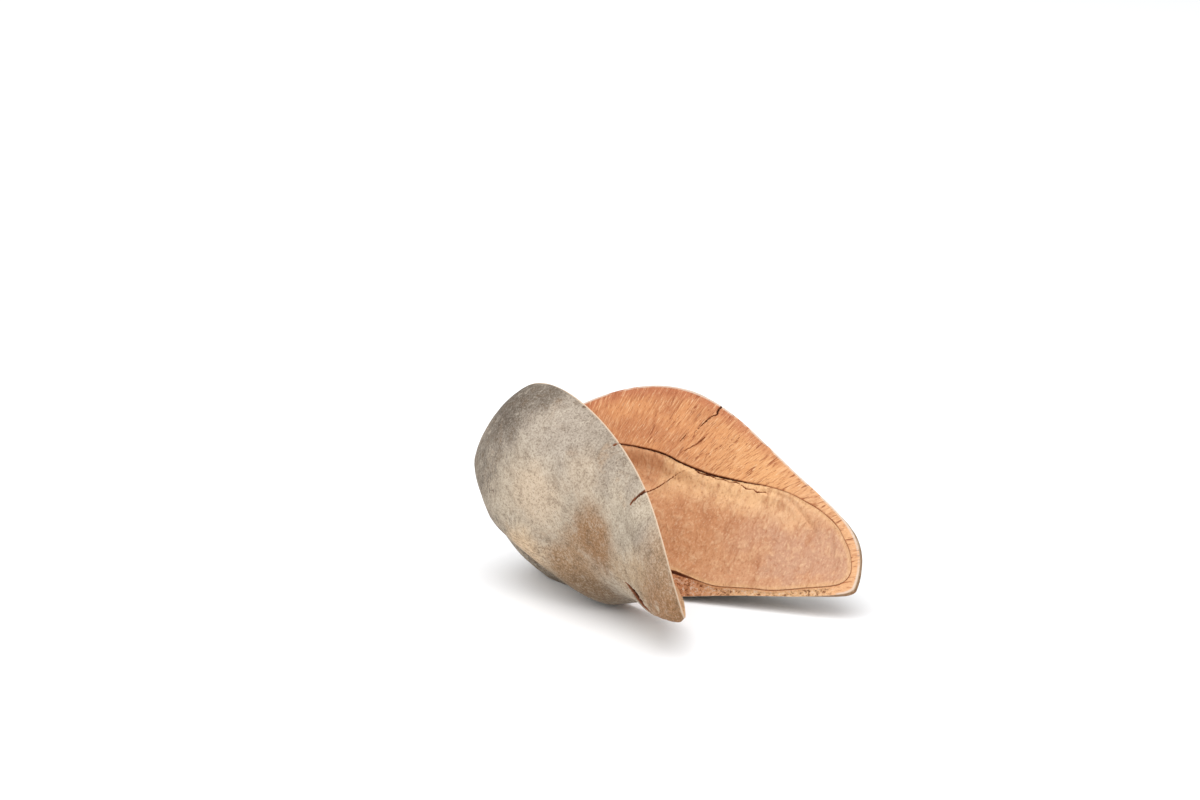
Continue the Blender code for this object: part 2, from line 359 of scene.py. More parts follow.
# %% The seed bed, the seed's hollow and the cracks
BED_EDGE = curved([(43.1, -9.7), (46.3, -9.9), (49.4, -10.1), (52.8, -9.8), (57.1, -8.4), (60.8, -7.2),
                   (64.2, -6.2), (70.4, -3.3), (75.1, -1.3), (77.4, 0.4), (78.1, 2.8), (77.1, 5.5),
                   (75.8, 7.5), (74.0, 9.3), (71.9, 11.2), (69.6, 12.5), (66.4, 13.7), (63.2, 14.4),
                   (59.7, 15.0), (56.3, 15.1), (51.8, 14.8), (48.1, 14.2), (42.1, 13.7), (34.3, 14.1),
                   (28.3, 14.7), (24.7, 14.4), (21.5, 13.9), (18.0, 12.6), (15.4, 9.5), (15.6, 5.0),
                   (20.0, 0.0), (26.0, -5.2), (32.0, -8.9), (38.0, -9.9), (43.1, -9.7)], 3)[:-1]
BED_LOOP = np.vstack([BED_EDGE, BED_EDGE[:1]])
SEED_RIDGE = curved([(36.4, 12.9), (34.2, 11.3), (32.4, 9.2), (30.4, 6.8), (27.4, 4.4), (23.0, 3.0)])
GAP_CRACK = curved([(19.0, 13.2), (21.5, 13.9), (24.7, 14.4), (28.3, 14.7), (31.4, 14.6), (34.3, 14.1),
                    (38.0, 13.8), (42.1, 13.7), (48.1, 14.2), (54.0, 15.0)])
GAP_WIDTHS = (0.08, 0.12, 0.14, 0.15, 0.18, 0.15, 0.21, 0.16, 0.09, 0.05)
WING_CREASE = curved([(53.6, 13.7), (57.2, 14.0), (61.4, 12.8), (66.8, 9.4), (69.4, 6.4)])
FAR, NEAR = 1, -1
FACE_CRACKS = [
    (FAR, curved([(38.7, 30.4), (38.3, 29.3), (37.5, 27.7), (37.6, 26.6), (36.7, 25.8), (35.6, 23.6),
                  (34.8, 21.6)]), (0.24, 0.20, 0.18, 0.09, 0.14, 0.06, 0.02), 1.3),
    (FAR, np.array([(33.3, 21.0), (32.9, 19.4), (32.4, 18.1)]), (0.03, 0.11, 0.03), 0.5),
    (FAR, np.array([(38.4, 22.9), (37.2, 20.9), (36.2, 19.1), (34.6, 17.1), (33.7, 16.0)]),
     (0.02, 0.06, 0.12, 0.10, 0.02), 0.5),
    (FAR, np.array([(42.6, 21.7), (40.6, 19.4), (38.7, 16.9)]), (0.02, 0.08, 0.02), 0.25),
    (FAR, np.array([(45.2, 26.0), (42.9, 22.1), (41.8, 18.8)]), (0.02, 0.06, 0.02), 0.2),
    (FAR, np.array([(29.3, 21.2), (28.8, 18.1), (28.3, 15.7)]), (0.02, 0.07, 0.02), 0.2),
    (FAR, np.array([(43.2, 13.1), (44.8, 13.5), (46.2, 13.3), (47.4, 13.8), (48.6, 13.6), (50.2, 13.1),
                    (51.6, 13.5), (52.6, 13.1), (54.1, 13.8), (55.2, 13.4)]),
     (0.04, 0.10, 0.06, 0.12, 0.06, 0.14, 0.07, 0.16, 0.10, 0.03), 0.5),
    (FAR, np.array([(37.2, 13.9), (39.2, 13.2), (41.8, 13.4), (43.6, 13.1)]),
     (0.04, 0.15, 0.17, 0.04), 0.6),
    (NEAR, curved([(30.6, 29.4), (30.2, 27.2), (29.4, 24.6), (29.0, 22.0)]), (0.26, 0.22, 0.14, 0.04), 1.2),
    (NEAR, np.array([(45.0, 24.0), (43.4, 21.2), (42.6, 18.9)]), (0.03, 0.14, 0.03), 0.6),
    (NEAR, np.array([(56.4, 20.4), (55.0, 18.6), (54.2, 16.9)]), (0.20, 0.12, 0.03), 0.6),
]
SKIN_CRACKS = [
    (on_skin([(0.634, 92.0), (0.629, 84.0), (0.618, 73.0)], -1), (0.14, 0.12, 0.02), 0.4),
    (on_skin([(0.779, 90.0), (0.780, 82.0), (0.777, 72.0), (0.774, 63.5)], -1),
     (0.24, 0.26, 0.20, 0.03), 0.8),
    (on_skin([(0.778, 4.0), (0.796, 2.5), (0.814, 0.5), (0.836, -8.0), (0.860, -15.0), (0.884, -20.0)], -1),
     (0.12, 0.80, 1.00, 0.85, 0.56, 0.20), 1.3),
    (on_skin([(0.06, 30.0), (0.10, 33.0), (0.145, 31.0)], -1), (0.30, 0.22, 0.03), 1.0),
    (on_skin([(0.05, -35.0), (0.09, -31.0), (0.12, -34.0)], -1), (0.24, 0.18, 0.03), 0.8),
    (on_skin([(0.06, 12.0), (0.11, 16.0), (0.16, 13.0)], 1), (0.32, 0.24, 0.03), 1.0),
    (on_skin([(0.05, -50.0), (0.08, -47.0), (0.115, -50.0)], 1), (0.26, 0.18, 0.03), 0.8),
    (on_skin([(0.07, 55.0), (0.11, 52.0), (0.15, 55.0)], 1), (0.24, 0.18, 0.03), 0.8),
]
print(len(FACE_CRACKS), "cracks on the cut faces and", len(SKIN_CRACKS), "on the skin")

# %% [markdown]
# ## More faces where the lines run
#
# A crack three tenths of a millimetre wide needs faces a good deal smaller than that, but the whole
# pod doesn't. So only the faces near a line are selected, by the distance of their middles, and
# subdivided. Faces with more than four sides, which the cuts left along their borders, are split
# into triangles first, so that they bend cleanly.

# %% Selecting and subdividing faces by their place
def face_middles(mesh):
    flat = np.empty(len(mesh.polygons) * 3, dtype=np.float32)
    mesh.polygons.foreach_get("center", flat)
    return flat.reshape(-1, 3).astype(np.float64)


def face_materials(mesh):
    found = np.empty(len(mesh.polygons), dtype=np.int32)
    mesh.polygons.foreach_get("material_index", found)
    return found


def subdivide_faces(piece, chosen, cuts):
    mesh = piece.data
    mesh.vertices.foreach_set("select", np.zeros(len(mesh.vertices), dtype=bool))
    mesh.edges.foreach_set("select", np.zeros(len(mesh.edges), dtype=bool))
    mesh.polygons.foreach_set("select", chosen)
    bpy.context.tool_settings.mesh_select_mode = (False, False, True)
    select_only(piece)
    bpy.ops.object.mode_set(mode="EDIT")
    bpy.ops.mesh.subdivide(number_cuts=cuts)
    bpy.ops.object.mode_set(mode="OBJECT")


def split_wide_faces(piece):
    select_only(piece)
    bpy.context.tool_settings.mesh_select_mode = (False, False, True)
    bpy.ops.object.mode_set(mode="EDIT")
    bpy.ops.mesh.select_all(action="DESELECT")
    bpy.ops.mesh.select_face_by_sides(number=4, type="GREATER")
    bpy.ops.mesh.quads_convert_to_tris()
    bpy.ops.object.mode_set(mode="OBJECT")


SKIN, WOOD, CORK = 0, 1, 2
FINE_BED_EDGE = 0.8
FINE_RIDGE = 0.7
FINE_ROUND_CRACK = 0.4
FINE_ROUND_SKIN_CRACK = 0.6
FINE_CUTS = 2
split_wide_faces(pod)
middles = face_middles(pod.data)
kinds = face_materials(pod.data)
on_plane = middles[:, [0, 2]]
near_edge = nearest_on(BED_LOOP, on_plane)[0] < FINE_BED_EDGE
near_ridge = nearest_on(SEED_RIDGE, on_plane)[0] < FINE_RIDGE
near_crack = np.zeros(len(middles), dtype=bool)
for half, line, widths, depth in FACE_CRACKS:
    close = nearest_on(line, on_plane)[0] < max(widths) + FINE_ROUND_CRACK
    near_crack |= close & (middles[:, 1] * half > 0.0)
wood_lines = (kinds == WOOD) & (near_edge | near_ridge | near_crack)
skin_lines = np.zeros(len(middles), dtype=bool)
for line, widths, depth in SKIN_CRACKS:
    skin_lines |= nearest_on(line, middles)[0] < max(widths) + FINE_ROUND_SKIN_CRACK
subdivide_faces(pod, wood_lines | ((kinds == SKIN) & skin_lines), FINE_CUTS)
print("Finer along the lines:", len(pod.data.polygons), "faces,", len(pod.data.vertices), "points")

# %% [markdown]
# ## Relief
#
# The seed bed, the cracks and the rough rim are pressed into the surface while the pod is closed:
# points of a cut face move straight into the wood, and points of the skin move along their normals.
# What each point measured on the way, such as its distance inside the bed's edge, is stored on it as
# an attribute, so that the materials can change exactly where the shape does.

# %% Which points lie on the skin, on the cut wood and in the scar
mesh = pod.data
closed = read_points(mesh)
kinds = face_materials(mesh)
touches = np.zeros((len(closed), 3), dtype=bool)
corner_points = np.empty(len(mesh.loops), dtype=np.int32)
mesh.loops.foreach_get("vertex_index", corner_points)
face_sizes = np.empty(len(mesh.polygons), dtype=np.int32)
mesh.polygons.foreach_get("loop_total", face_sizes)
touches[corner_points, np.repeat(kinds, face_sizes)] = True
side = np.where(closed[:, 1] < 0.0, -1.0, 1.0)
plane_points = closed[:, [0, 2]]
start, along, across, length = split_frame()
from_split_end = (plane_points - start) @ across
on_wood = touches[:, WOOD]
inner_wood = on_wood & ~touches[:, SKIN] & ~touches[:, CORK]

# %% How far each point of the cut face is from the pod's outline and inside the bed's edge
OUTLINE_POINTS = 90
FAR_AWAY = 9.0
fractions = 0.5 - 0.5 * np.cos(np.linspace(0.0, np.pi, OUTLINE_POINTS))
outline = np.vstack([np.stack([POD_LENGTH * fractions, profile(CREST_SHAPE, fractions)], axis=1),
                     np.stack([POD_LENGTH * fractions, -profile(KEEL_SHAPE, fractions)], axis=1)[-2:0:-1]])
from_outline = np.full(len(closed), FAR_AWAY)
from_outline[on_wood] = nearest_on(outline, plane_points[on_wood])[0]
in_bed = np.full(len(closed), -FAR_AWAY)
distance = nearest_on(BED_LOOP, plane_points[on_wood])[0]
in_bed[on_wood] = np.where(inside_of(BED_EDGE, plane_points[on_wood]), distance, -distance)
print("Deepest point inside the bed's edge:", round(float(in_bed.max()), 1), "mm")

# %% The seed bed: its floor, its edge and the seed's own hollow
BED_DEPTH = 1.2
LINING_STEP = 0.35
LINING_STEP_WIDTH = 0.3
BED_SLOPE_INSET = 0.8
BED_SLOPE_WIDTH = 3.4
SEED_DEPTH = 2.4
SEED_SLOPE_WIDTH = 3.2
SEED_PLACE = np.array([26.5, 8.5])
SEED_HALF_SIZE = np.array([9.5, 5.8])
RIDGE_HEIGHT = 0.30
RIDGE_WIDTH = 0.9
RIDGE_FADE = 1.5
CREASE_DEPTH = 0.26
CREASE_WIDTH = 0.45
CREASE_LIP_HEIGHT = 0.20
CREASE_LIP_PLACE = 0.9
CREASE_LIP_WIDTH = 0.5
CREASE_FADE = 0.8
inside = np.clip(in_bed, 0.0, None)
bed = LINING_STEP * smooth_step(inside / LINING_STEP_WIDTH)
bed += (BED_DEPTH - LINING_STEP) * smooth_step((inside - BED_SLOPE_INSET) / BED_SLOPE_WIDTH)
seed_distance = (((plane_points - SEED_PLACE) / SEED_HALF_SIZE) ** 2).sum(axis=1)
bed += SEED_DEPTH * np.exp(-seed_distance) * smooth_step(inside / SEED_SLOPE_WIDTH)
ridge_distance = nearest_on(SEED_RIDGE, plane_points)[0]
bed -= RIDGE_HEIGHT * hump(ridge_distance, RIDGE_WIDTH) * smooth_step(inside / RIDGE_FADE)
crease_distance = nearest_on(WING_CREASE, plane_points)[0]
crease_fade = smooth_step(inside / CREASE_FADE)
bed += CREASE_DEPTH * hump(crease_distance, CREASE_WIDTH) * crease_fade
bed -= CREASE_LIP_HEIGHT * hump(crease_distance - CREASE_LIP_PLACE, CREASE_LIP_WIDTH) * crease_fade

# %% The rough strip along the keel
STRIP_INSET = 0.15
STRIP_INSET_FADE = 0.5
STRIP_TOP = 1.0
STRIP_START = 30.0
STRIP_START_FADE = 8.0
STRIP_END = 78.5
STRIP_END_FADE = 6.0
RIM_WIDTH = 1.0
RIM_DROP = 0.5
PORE_DEPTH = 0.28
PORE_WAVES = ((1.0, 0.9, 0.0), (0.6, 0.45, 7.0))
keel_strip = smooth_step((-STRIP_INSET - in_bed) / STRIP_INSET_FADE) * (closed[:, 2] < STRIP_TOP)
keel_strip *= smooth_step((closed[:, 0] - STRIP_START) / STRIP_START_FADE)
keel_strip *= smooth_step((STRIP_END - closed[:, 0]) / STRIP_END_FADE) * on_wood
pores = PORE_DEPTH * layered_waves(closed, PORE_WAVES)
bed += keel_strip * smooth_step(from_outline / RIM_WIDTH) * (RIM_DROP + pores)

# %% Cracks: the width runs along the line, and the edges waver a little
BOTH = 0
CRACK_WALL_POWER = 0.6
CRACK_WAVER = ((0.35, 0.7, 3.0), (0.25, 0.3, 8.0))
GAP_DEPTH = 1.1
RIDGE_CRACK_WIDTHS = (0.02, 0.08, 0.13, 0.12, 0.12, 0.10)
RIDGE_CRACK_DEPTH = 0.6


def crack_depth(points, line, widths, depth, waver):
    distance, along = nearest_on(line, points)
    half_width = np.interp(along, np.linspace(0.0, 1.0, len(widths)), widths)
    inside = 1.0 - (distance + waver * half_width) / half_width
    return depth * np.clip(inside, 0.0, 1.0) ** CRACK_WALL_POWER * np.sqrt(half_width / max(widths))


waver = layered_waves(closed, CRACK_WAVER)
cracks = np.zeros(len(closed))
shared_cracks = [(BOTH, GAP_CRACK, GAP_WIDTHS, GAP_DEPTH),
                 (BOTH, SEED_RIDGE, RIDGE_CRACK_WIDTHS, RIDGE_CRACK_DEPTH)]
for half, line, widths, depth in shared_cracks + FACE_CRACKS:
    here = on_wood & (closed[:, 1] * half >= 0.0)
    made = crack_depth(plane_points[here], line, widths, depth, waver[here])
    cracks[here] = np.maximum(cracks[here], made)
skin_cracks = np.zeros(len(closed))
on_skin_points = touches[:, SKIN]
for line, widths, depth in SKIN_CRACKS:
    made = crack_depth(closed[on_skin_points], line, widths, depth, waver[on_skin_points])
    skin_cracks[on_skin_points] = np.maximum(skin_cracks[on_skin_points], made)

# %% The groove along the bed's edge, deeper under the lip at the keel
LIP_END = 50.0
LIP_FADE = 7.0
LIP_WIDTH = 0.10
LIP_EXTRA_WIDTH = 0.18
LIP_DEPTH = 0.25
LIP_EXTRA_DEPTH = 0.45
EDGE_DEPTH = 0.20
EDGE_DEPTH_CHANGE = ((0.14, 4.0, 12.0),)
EDGE_WIDTH = 0.12
KEEL_SIDE = 2.0
lip_shadow = smooth_step((LIP_END - closed[:, 0]) / LIP_FADE)
lip_width = LIP_WIDTH + LIP_EXTRA_WIDTH * lip_shadow
lip_groove = (LIP_DEPTH + LIP_EXTRA_DEPTH * lip_shadow) * hump(in_bed + lip_width, lip_width)
edge_groove = (EDGE_DEPTH + layered_waves(closed, EDGE_DEPTH_CHANGE)) * hump(in_bed, EDGE_WIDTH)
at_keel = smooth_step((KEEL_SIDE - closed[:, 2]) / KEEL_SIDE)
# The grooves join the cracks in one depth, which the wood's finish paints darker as painted shade.
cracks = np.maximum(cracks, (edge_groove + at_keel * (lip_groove - edge_groove)) * on_wood)

# %% Moving the points
SKIN_LUMPS = ((0.20, 9.0, 1.0), (0.07, 2.6, 5.0), (0.03, 0.9, 9.0))
WOOD_LUMPS = ((0.10, 3.0, 2.0),)
WOOD_LUMP_INSET = 1.5
CORK_STRETCH = np.array([0.6, 1.0, 1.0])
CORK_FOLDS = ((0.9, 1.6, 4.0),)
CORK_FIBRES = ((0.5, 0.7, 6.0),)
CORK_INSET = 0.5
CORK_FADE = 2.0
normals = np.empty(len(mesh.vertices) * 3, dtype=np.float32)
mesh.vertex_normals.foreach_get("vector", normals)
normals = normals.reshape(-1, 3).astype(np.float64)
skin_move = np.where(on_skin_points & ~on_wood, layered_waves(closed, SKIN_LUMPS), 0.0) - skin_cracks
shaped = closed + normals * skin_move[:, None]
wood_move = (bed + cracks) * inner_wood + cracks * (on_wood & ~inner_wood & ~touches[:, CORK])
wood_move += layered_waves(closed, WOOD_LUMPS) * inner_wood * smooth_step(from_outline / WOOD_LUMP_INSET)
shaped[:, 1] += side * wood_move
cork = touches[:, CORK] & ~touches[:, SKIN] & ~touches[:, WOOD]
cork_move = layered_waves(closed * CORK_STRETCH, CORK_FOLDS) + layered_waves(closed, CORK_FIBRES)
cork_move = np.abs(cork_move) * smooth_step((-from_split_end - CORK_INSET) / CORK_FADE)
shaped[:, 0] -= np.where(cork, cork_move, 0.0)
print("Deepest crack", round(float(cracks.max()), 2), "mm, on the skin", round(float(skin_cracks.max()), 2))

# %% [markdown]
# ## Gaping, lying down, and the flat spot
#
# Now the two halves swing apart and the pod is laid on its belly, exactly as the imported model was.
# The middle of its smooth outside is set over the origin, and a bisect at the height of the surface
# cuts and fills the small flat spot that it rests on. Bisect keeps the attributes, which a Boolean at
# this stage would lose.

# %% Attributes for the materials
def store(mesh, name, values):
    kind = "FLOAT_VECTOR" if values.ndim == 2 else "FLOAT"
    attribute = mesh.attributes.new(name, kind, "POINT")
    attribute.data.foreach_set("vector" if values.ndim == 2 else "value", values.astype(np.float32).ravel())


store(mesh, "closed_place", closed)
store(mesh, "in_bed", in_bed)
store(mesh, "from_outline", from_outline)
# The depth of cracks and grooves, which the finishes paint darker as painted shade.
store(mesh, "crack", np.maximum(cracks, skin_cracks))
store(mesh, "keel_strip", keel_strip)
store(mesh, "from_split_end", from_split_end)

# %% Swinging the halves and laying the pod down
MM = 0.001
lying_turn = np.array(Euler(LYING_ANGLES, "XYZ").to_matrix())


def opened(points):
    near = (points[:, 1] < 0.0)[:, None]
    return np.where(near, gape(points, NEAR_HALF), gape(points, FAR_HALF)) @ lying_turn.T


smooth_outside = opened(closed)
low, high = smooth_outside.min(axis=0), smooth_outside.max(axis=0)
stalk_end = -np.array([(low[0] + high[0]) / 2.0, (low[1] + high[1]) / 2.0, low[2] + FLAT_SPOT_HEIGHT])
laid = (opened(shaped) + stalk_end) * MM
write_points(mesh, laid)
print("The closed pod's stalk end is at", [round(float(value), 2) for value in stalk_end], "mm")

# %% The flat spot
BISECT_THRESHOLD = 0.000001
MERGE_DISTANCE = 0.000002
SMOOTH_ANGLE = radians(50.0)
select_only(pod)
bpy.ops.object.mode_set(mode="EDIT")
bpy.ops.mesh.select_all(action="SELECT")
bpy.ops.mesh.bisect(plane_co=(0.0, 0.0, 0.0), plane_no=(0.0, 0.0, 1.0), use_fill=True,
                    clear_inner=True, clear_outer=False, threshold=BISECT_THRESHOLD)
bpy.ops.mesh.select_all(action="SELECT")
bpy.ops.mesh.remove_doubles(threshold=MERGE_DISTANCE)
bpy.ops.object.mode_set(mode="OBJECT")
bpy.ops.object.shade_smooth_by_angle(angle=SMOOTH_ANGLE)
made_low, made_high = [np.array(pod.bound_box).min(axis=0), np.array(pod.bound_box).max(axis=0)]
print("Fine pod:", [round(1000 * float(side_length), 1) for side_length in made_high - made_low], "mm")
print("Off the packed box by at most",
      round(1000 * float(max(abs(made_low - np.array(node_low)).max(),
                             abs(made_high - np.array(node_high)).max())), 2), "mm")

# %% [markdown]
# ## Building materials from nodes
#
# Every finish is a small network of nodes, and a few helpers keep the networks short. The first adds
# a node and gives its inputs their values or links. Another turns a colour as seen on screen into the
# linear value that the shader wants. Each finish then starts from one colour and lays others over it,
# each where its own mask allows.

# %% Helpers for node networks
LIGHT_LEVEL = 1.33
SPECULAR = 0.25


def add_node(tree, kind, inputs, **settings):
    made = tree.nodes.new("ShaderNode" + kind)
    for name, value in settings.items():
        setattr(made, name, value)
    for name, value in inputs.items():
        if isinstance(value, bpy.types.NodeSocket):
            tree.links.new(value, made.inputs[name])
        else:
            made.inputs[name].default_value = value
    return made


def colour(red, green, blue):
    """The shader's value for a colour as seen on screen, under this scene's strong soft light."""
    linear = [((part / 255 + 0.055) / 1.055) ** 2.4 / LIGHT_LEVEL for part in (red, green, blue)]
    return (*linear, 1.0)


def stored(tree, name):
    """A number that was stored on the mesh."""
    return add_node(tree, "Attribute", {}, attribute_name=name).outputs["Fac"]


def stored_place(tree):
    """The place on the closed pod."""
    return add_node(tree, "Attribute", {}, attribute_name="closed_place").outputs["Vector"]


def calculate(tree, operation, a, b=0.0):
    return add_node(tree, "Math", {0: a, 1: b}, operation=operation).outputs[0]


def times(tree, a, b):
    return calculate(tree, "MULTIPLY", a, b)


def between(tree, value, low, high):
    """0 at low, 1 at high, smooth in between."""
    ramp = add_node(tree, "MapRange", {"Value": value, "From Min": low, "From Max": high},
                    interpolation_type="SMOOTHSTEP")
    return ramp.outputs["Result"]


def clouds(tree, place, scale, detail, roughness, distortion=0.0):
    made = add_node(tree, "TexNoise", {"Vector": place, "Scale": scale, "Detail": detail,
                                       "Roughness": roughness, "Distortion": distortion})
    return made.outputs["Fac"]


def stretched(tree, place, scale, turn=(0.0, 0.0, 0.0)):
    return add_node(tree, "Mapping", {"Vector": place, "Scale": scale, "Rotation": turn}).outputs[0]


def paint(tree, under, over, mask):
    return add_node(tree, "Mix", {0: mask, 6: under, 7: over}, data_type="RGBA").outputs[2]


def layer(tree, under, shade, mask, strength=1.0):
    """Lay a colour, as seen on screen, over what is there, where the mask allows."""
    if strength < 1.0:
        mask = times(tree, mask, strength)
    return paint(tree, under, colour(*shade), mask)


def mixed_height(tree, under, over, mask):
    return add_node(tree, "Mix", {0: mask, 2: under, 3: over}).outputs[0]


def finish_surface(tree, colour_socket, roughness, height, bump_distance):
    shader = tree.nodes["Principled BSDF"]
    tree.links.new(colour_socket, shader.inputs["Base Color"])
    shader.inputs["Roughness"].default_value = roughness
    shader.inputs["Specular IOR Level"].default_value = SPECULAR
    bump = add_node(tree, "Bump", {"Height": height, "Distance": bump_distance, "Strength": 1.0})
    tree.links.new(bump.outputs[0], shader.inputs["Normal"])


# %% [markdown]
# ## The weathered skin
#
# The skin is grey-beige and finely mottled, like driftwood. It has darker strokes toward the stalk
# end, brown threads on its low side, a cream patch in the middle of the near half and a tan one
# toward its tip, and a thin pale line along the free edge. All patterns read the place on the closed
# pod, so they follow the grown surface and don't care how far the halves swung.

# %% Patches on the near half: place, reach in millimetres, strength, colour on screen
SKIN_PATCHES = [
    ((0.47, 58.0), 13.0, 0.60, (198, 184, 168)),
    ((0.25, 68.0), 12.0, 1.00, (110, 99, 88)),
    ((0.38, 84.0), 7.0, 0.85, (116, 105, 94)),
    ((0.19, 34.0), 10.0, 0.80, (136, 125, 112)),
    ((0.45, 26.0), 10.0, 0.85, (224, 200, 172)),
    ((0.38, -2.0), 7.5, 0.90, (238, 206, 168)),
    ((0.53, -14.0), 7.5, 0.80, (172, 138, 102)),
    ((0.60, 52.0), 6.5, 0.60, (214, 192, 166)),
    ((0.66, 19.0), 9.5, 1.00, (162, 120, 80)),
    ((0.56, -2.0), 9.5, 0.85, (174, 136, 98)),
    ((0.78, 46.0), 6.5, 0.70, (182, 168, 148)),
    ((0.44, -38.0), 9.0, 0.80, (144, 118, 88)),
    ((0.56, -30.0), 8.0, 0.85, (136, 106, 74)),
    ((0.77, 10.0), 6.0, 0.60, (184, 152, 114)),
    ((0.86, 20.0), 7.0, 0.60, (194, 158, 116)),
    ((0.96, 0.0), 10.0, 0.90, (166, 118, 74)),
    ((0.93, 4.0), 0.9, 0.60, (226, 210, 184)),
    ((0.493, 87.5), 0.55, 0.90, (96, 62, 44)),
    ((0.28, 22.6), 0.55, 0.90, (96, 70, 56)),
]


# %% The skin's finish
SKIN_VALUE = 0.92
SKIN_ROUGHNESS = 0.85
SKIN_BUMP = 0.00010
STROKE_SCALE = (2.2, 0.5, 0.5)
THREAD_SCALE = (0.22, 1.3, 1.3)
PATCH_REACH = (1.1, 0.3)


def skin_patches(tree, base, place, ragged):
    """Patches that fade out raggedly with the distance from their place on the near half."""
    for spot, reach, strength, shade in SKIN_PATCHES:
        centre = tuple(float(value) for value in on_skin([spot], -1)[0])
        away = add_node(tree, "VectorMath", {0: place, 1: centre}, operation="DISTANCE").outputs["Value"]
        away = calculate(tree, "ADD", calculate(tree, "DIVIDE", away, reach),
                         calculate(tree, "SUBTRACT", ragged, 0.5))
        base = layer(tree, base, shade, between(tree, away, *PATCH_REACH), strength)
    return base


def skin_finish(material):
    material.use_nodes = True
    tree = material.node_tree
    place = stored_place(tree)
    parts = add_node(tree, "SeparateXYZ", {0: place}).outputs
    broad = clouds(tree, place, 0.055, 4.0, 0.6, 0.3)
    ragged = clouds(tree, place, 0.16, 6.0, 0.65)
    mottle = clouds(tree, place, 0.42, 9.0, 0.72)
    grain = clouds(tree, place, 2.4, 5.0, 0.75)
    strokes = clouds(tree, stretched(tree, place, STROKE_SCALE), 1.0, 5.0, 0.7, 0.4)
    threads = clouds(tree, stretched(tree, place, THREAD_SCALE), 1.0, 5.0, 0.7, 0.6)
    base = paint(tree, colour(168, 154, 138), colour(202, 186, 164), between(tree, broad, 0.38, 0.60))
    base = layer(tree, base, (186, 156, 126), between(tree, ragged, 0.56, 0.70), 0.6)
    base = layer(tree, base, (168, 130, 94), between(tree, parts["X"], 66.0, 76.0), 0.8)
    base = skin_patches(tree, base, place, ragged)
    stalk_side = times(tree, between(tree, parts["X"], 36.0, 14.0), between(tree, ragged, 0.38, 0.58))
    strokes = times(tree, between(tree, strokes, 0.46, 0.60), stalk_side)
    base = layer(tree, base, (92, 83, 75), strokes, 0.9)
    low_side = between(tree, parts["Z"], 8.0, -2.0)
    threads = times(tree, between(tree, threads, 0.50, 0.62), low_side)
    base = layer(tree, base, (134, 102, 72), threads, 0.6)
    base = layer(tree, base, (234, 220, 200), between(tree, mottle, 0.50, 0.66), 0.27)
    base = layer(tree, base, (120, 98, 76), between(tree, mottle, 0.50, 0.34), 0.46)
    base = layer(tree, base, (240, 226, 206), between(tree, grain, 0.50, 0.62), 0.24)
    base = layer(tree, base, (100, 80, 60), between(tree, grain, 0.50, 0.38), 0.52)
    scar_rim = calculate(tree, "ADD", parts["X"], times(tree, ragged, 3.0))
    base = layer(tree, base, (206, 150, 116), between(tree, scar_rim, 2.6, 1.6))
    edge = times(tree, between(tree, calculate(tree, "ABSOLUTE", parts["Y"]), 0.72, 0.36),
                 between(tree, stored(tree, "from_split_end"), -0.5, 1.5))
    base = layer(tree, base, (240, 214, 186), edge, 0.85)
    # The skin's cracks are painted darker the deeper they are: painted shade in the cracks.
    crack = stored(tree, "crack")
    base = layer(tree, base, (150, 92, 60), between(tree, crack, 0.0, 0.12))
    base = layer(tree, base, (92, 50, 30), between(tree, crack, 0.12, 0.5))
    dimmed = add_node(tree, "HueSaturation", {"Color": base, "Value": SKIN_VALUE}).outputs["Color"]
    height = calculate(tree, "ADD", mottle, times(tree, grain, 0.5))
    finish_surface(tree, dimmed, SKIN_ROUGHNESS, height, SKIN_BUMP)


skin_finish(skin_material)
print(skin_material.name, "has", len(skin_material.node_tree.nodes), "nodes")

# %% [markdown]
# ## The cut wood, the lining and the keel strip
#
# The thick wall is orange, with fine fibres that fan up and outward from the seed bed, so the
# pattern is laid in polar coordinates round a point far below the bed. The bed has a pinkish-tan,
# leathery lining, and the strip along the keel is porous and redder. One material holds all three,
# and the numbers stored on the mesh tell them apart.

# %% Fibres, and the colours of the wall, the lining and the strip
FAN_CENTRE = (19.0, -30.0)
FAN_REACH = 52.0
STREAK_SCALE = (2.6, 0.30, 0.3)
HAIR_SCALE = (5.0, 0.50, 0.5)
SPLIT_SCALE = (1.5, 0.22, 0.3)
WRINKLE_SCALE = (0.45, 1.0, 0.14)
WRINKLE_TURN = (0.0, radians(16.0), 0.0)
LEATHER_SCALE = (0.55, 0.5, 0.40)
LEATHER_TURN = (0.0, radians(30.0), 0.0)
GRAIN_SCALE = (2.2, 1.0, 1.2)


def fibre_place(tree, place):
    """Polar coordinates round the fibres' centre: across the fibres, then along them."""
    parts = add_node(tree, "SeparateXYZ", {0: place}).outputs
    x = calculate(tree, "SUBTRACT", parts["X"], FAN_CENTRE[0])
    z = calculate(tree, "SUBTRACT", parts["Z"], FAN_CENTRE[1])
    turn = calculate(tree, "ARCTAN2", z, x)
    reach = calculate(tree, "SQRT", calculate(tree, "ADD", times(tree, x, x), times(tree, z, z)))
    across = times(tree, turn, FAN_REACH)
    return add_node(tree, "CombineXYZ", {0: across, 1: reach, 2: parts["Y"]}).outputs[0]


